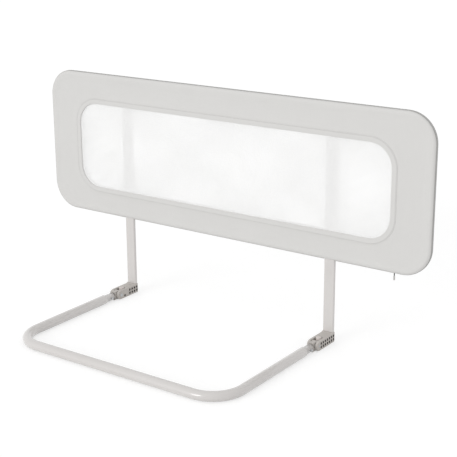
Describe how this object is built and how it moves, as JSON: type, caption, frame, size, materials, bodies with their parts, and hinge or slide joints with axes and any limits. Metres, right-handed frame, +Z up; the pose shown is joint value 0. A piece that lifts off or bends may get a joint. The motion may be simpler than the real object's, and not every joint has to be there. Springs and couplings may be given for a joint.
{
  "type": "folding bed guard rail",
  "caption": "Folding guard rail for a child's bed: fabric and mesh panel that slides up and down on flat posts, folding on hinge feet over a U-shaped base tube.",
  "frame": {"origin": "on the floor, in the middle of the whole rail's box", "axes": "+Z up, +X along the panel, the base tube points towards -Y, the mattress side"},
  "size_m": [1.2, 0.496, 0.62],
  "materials": {
    "painted_tube": "satin warm light grey powder coat",
    "hinge_plastic": "fine satin moulded plastic, warm grey",
    "button_plastic": "satin moulded plastic, slightly lighter than the foot",
    "inner_plastic": "matt moulded plastic",
    "steel": "zinc plated",
    "dark_steel": "dark plated",
    "cover_fabric": "light grey woven polyester, stretched",
    "binding": "stitched binding tape",
    "mesh_fabric": "fine white see-through mesh",
    "zip_plastic": "coil zip, grey"
  },
  "bodies": {
    "base": {"base_tube": "painted_tube", "base_socket_left": "hinge_plastic", "base_socket_right": "hinge_plastic", "socket_rivet_left": "steel", "socket_rivet_right": "steel"},
    "uprights": {"hinge_foot_left": "hinge_plastic", "hinge_foot_right": "hinge_plastic", "hinge_pin_left": "steel", "hinge_pin_right": "steel", "clamp_screw_left": "dark_steel", "clamp_screw_right": "dark_steel", "button_spring_left": "steel", "button_spring_right": "steel", "lower_post_left": "painted_tube", "lower_post_right": "painted_tube", "post_glide_left": "inner_plastic", "post_glide_right": "inner_plastic"},
    "release_left": {"lock_button_left": "button_plastic"},
    "release_right": {"lock_button_right": "button_plastic"},
    "panel": {"upright_tube_left": "painted_tube", "upright_tube_right": "painted_tube", "top_tee_left": "inner_plastic", "top_tee_right": "inner_plastic", "bottom_tee_left": "inner_plastic", "bottom_tee_right": "inner_plastic", "latch_spring_left": "steel", "latch_spring_right": "steel", "top_tee_screw_left": "dark_steel", "top_tee_screw_right": "dark_steel", "top_rail": "painted_tube", "bottom_rail": "painted_tube", "frame_end_left": "painted_tube", "frame_end_right": "painted_tube", "cover_front": "cover_fabric", "cover_back": "cover_fabric", "window_binding_front": "binding", "window_binding_back": "binding", "mesh_front": "mesh_fabric", "mesh_back": "mesh_fabric", "zip_chain": "zip_plastic"},
    "slider": {"zip_slider": "dark_steel"},
    "pull": {"zip_pull": "dark_steel"}
  },
  "joints": [
    {"name": "fold", "type": "hinge", "parent": "base", "child": "uprights", "pos_m": [0, 0.16446, 0.0125], "axis": [1, 0, 0], "range_deg": [0, 90]},
    {"name": "height", "type": "slide", "parent": "uprights", "child": "panel", "axis": [0, 0, 1], "range_m": [-0.18, 0.08], "deforming": ["latch_spring_left", "latch_spring_right"]},
    {"name": "release_left", "type": "slide", "parent": "uprights", "child": "release_left", "axis": [0, 0, -1], "range_m": [0, 0.004], "stiffness_N_per_m": 500, "springref_m": -0.004, "deforming": ["button_spring_left"]},
    {"name": "release_right", "type": "slide", "parent": "uprights", "child": "release_right", "axis": [0, 0, -1], "range_m": [0, 0.004], "stiffness_N_per_m": 500, "springref_m": -0.004, "deforming": ["button_spring_right"]},
    {"name": "zip_run", "type": "slide", "parent": "panel", "child": "slider", "axis": [-1, 0, 0], "range_m": [0, 0.99]},
    {"name": "zip_pull_swing", "type": "hinge", "parent": "slider", "child": "pull", "pos_m": [0.498, 0.24584, 0.22185], "axis": [1, 0, 0], "range_deg": [-10, 110]}
  ]
}
